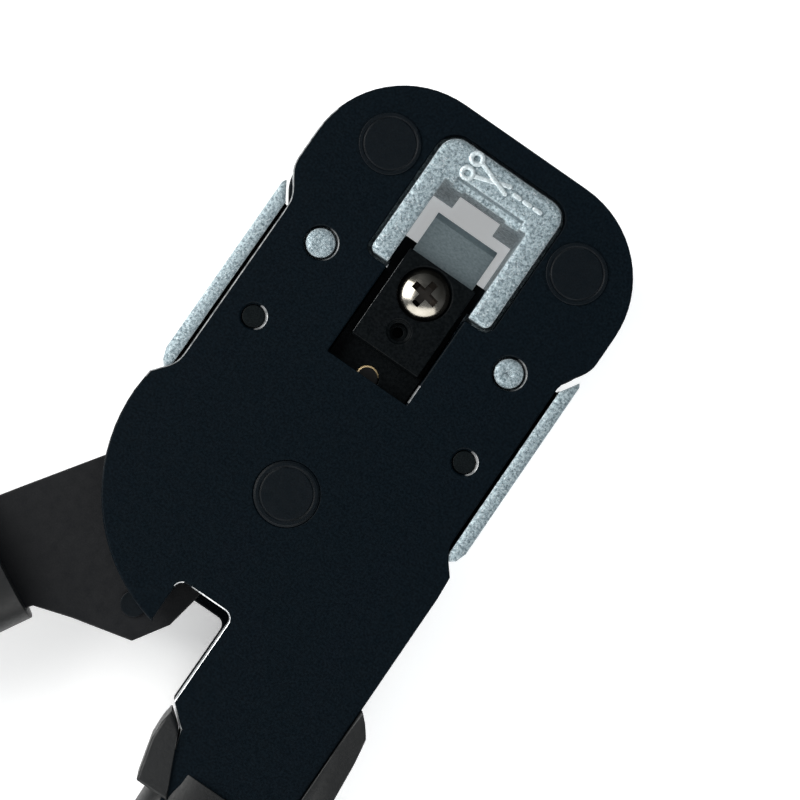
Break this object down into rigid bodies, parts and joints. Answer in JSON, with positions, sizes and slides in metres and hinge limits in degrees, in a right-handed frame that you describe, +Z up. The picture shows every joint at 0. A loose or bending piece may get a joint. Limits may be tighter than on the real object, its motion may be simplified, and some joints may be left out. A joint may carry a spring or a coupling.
{
  "type": "crimping tool",
  "caption": "Ratchet crimping tool for modular plugs: a riveted flat head with a cast plug nest and trim blade, a cable cutting slot and two handles that squeeze together.",
  "frame": {"origin": "on the main pivot's axis, in the rest plane touched by the front head of the main pivot rivet", "axes": "+Y from the main pivot to the top of the head, +Z up out of the side with the trim blade, +X to the side of the fixed handle"},
  "size_m": [0.1166, 0.2041, 0.018],
  "materials": {
    "plate_black": "satin black paint with a fine texture",
    "cast_zinc": "bare die-cast zinc, fine grained",
    "rivet_black": "black oxide",
    "pin_black": "black oxide",
    "spacer_steel": "plain steel",
    "tool_steel": "ground tool steel",
    "blade_steel": "ground blade steel",
    "grip_black": "moulded plastic, fine spark texture",
    "grip_pad": "soft touch inset",
    "zinc_screw": "zinc plated",
    "spring_steel": "bright spring wire",
    "lever_black": "black oxide",
    "bush_bronze": "sintered bronze",
    "ram_black": "black oxide",
    "screw_nickel": "polished nickel plate",
    "pin_steel": "hardened steel, straw tinted",
    "pawl_steel": "hardened steel"
  },
  "bodies": {
    "frame": {"rear_plate": "plate_black", "front_plate": "plate_black", "die_core": "cast_zinc", "corner_rivets": "rivet_black", "main_pivot_rivet": "rivet_black", "pawl_pin": "pin_black", "spring_anchor_pin": "pin_black", "leg_spacer": "spacer_steel", "leg_rivets": "rivet_black", "cutter_anvil": "tool_steel", "anvil_rivets": "rivet_black", "fixed_grip_rear": "grip_black", "fixed_grip_front": "grip_black", "fixed_grip_screws": "zinc_screw", "fixed_grip_pads": "grip_pad", "handle_return_spring": "spring_steel", "pawl_spring": "spring_steel"},
    "lever": {"lever_plate": "lever_black", "pivot_bush": "bush_bronze", "cutter_blade": "tool_steel", "cutter_blade_rivets": "rivet_black", "moving_grip_rear": "grip_black", "moving_grip_front": "grip_black", "moving_grip_screws": "zinc_screw", "moving_grip_pads": "grip_pad"},
    "ram": {"ram_block": "ram_black", "contact_punch": "tool_steel", "strain_relief_punch": "tool_steel", "punch_pins": "pin_black", "trim_blade": "blade_steel", "blade_clamp": "ram_black", "blade_screw": "screw_nickel", "clamp_roll_pin": "pin_black", "cam_roller_pin": "pin_steel"},
    "roller": {"cam_roller": "pin_steel"},
    "pawl": {"ratchet_pawl": "pawl_steel"}
  },
  "joints": [
    {"name": "handle_close", "type": "hinge", "parent": "frame", "child": "lever", "pos_m": [0, 0, 0.009], "axis": [0, 0, 1], "range_deg": [0, 28], "stiffness_Nm_per_rad": 1.2, "springref_deg": -14.32, "deforming": ["handle_return_spring"]},
    {"name": "ram_slide", "type": "slide", "parent": "frame", "child": "ram", "axis": [0, 1, 0], "range_m": [0, 0.0045]},
    {"name": "roller_spin", "type": "hinge", "parent": "ram", "child": "roller", "pos_m": [0, 0.0173, 0.009], "axis": [0, 0, 1], "range_deg": [-191.5, 0]},
    {"name": "pawl_tilt", "type": "hinge", "parent": "frame", "child": "pawl", "pos_m": [-0.01545, 0.01535, 0.009], "axis": [0, 0, 1], "range_deg": [-8, 14], "stiffness_Nm_per_rad": 0.004, "deforming": ["pawl_spring"]}
  ],
  "couplings": [
    {"joint": "ram_slide", "follows": "handle_close", "m_per_rad": 0.0092082},
    {"joint": "roller_spin", "follows": "handle_close", "ratio": -6.8}
  ]
}
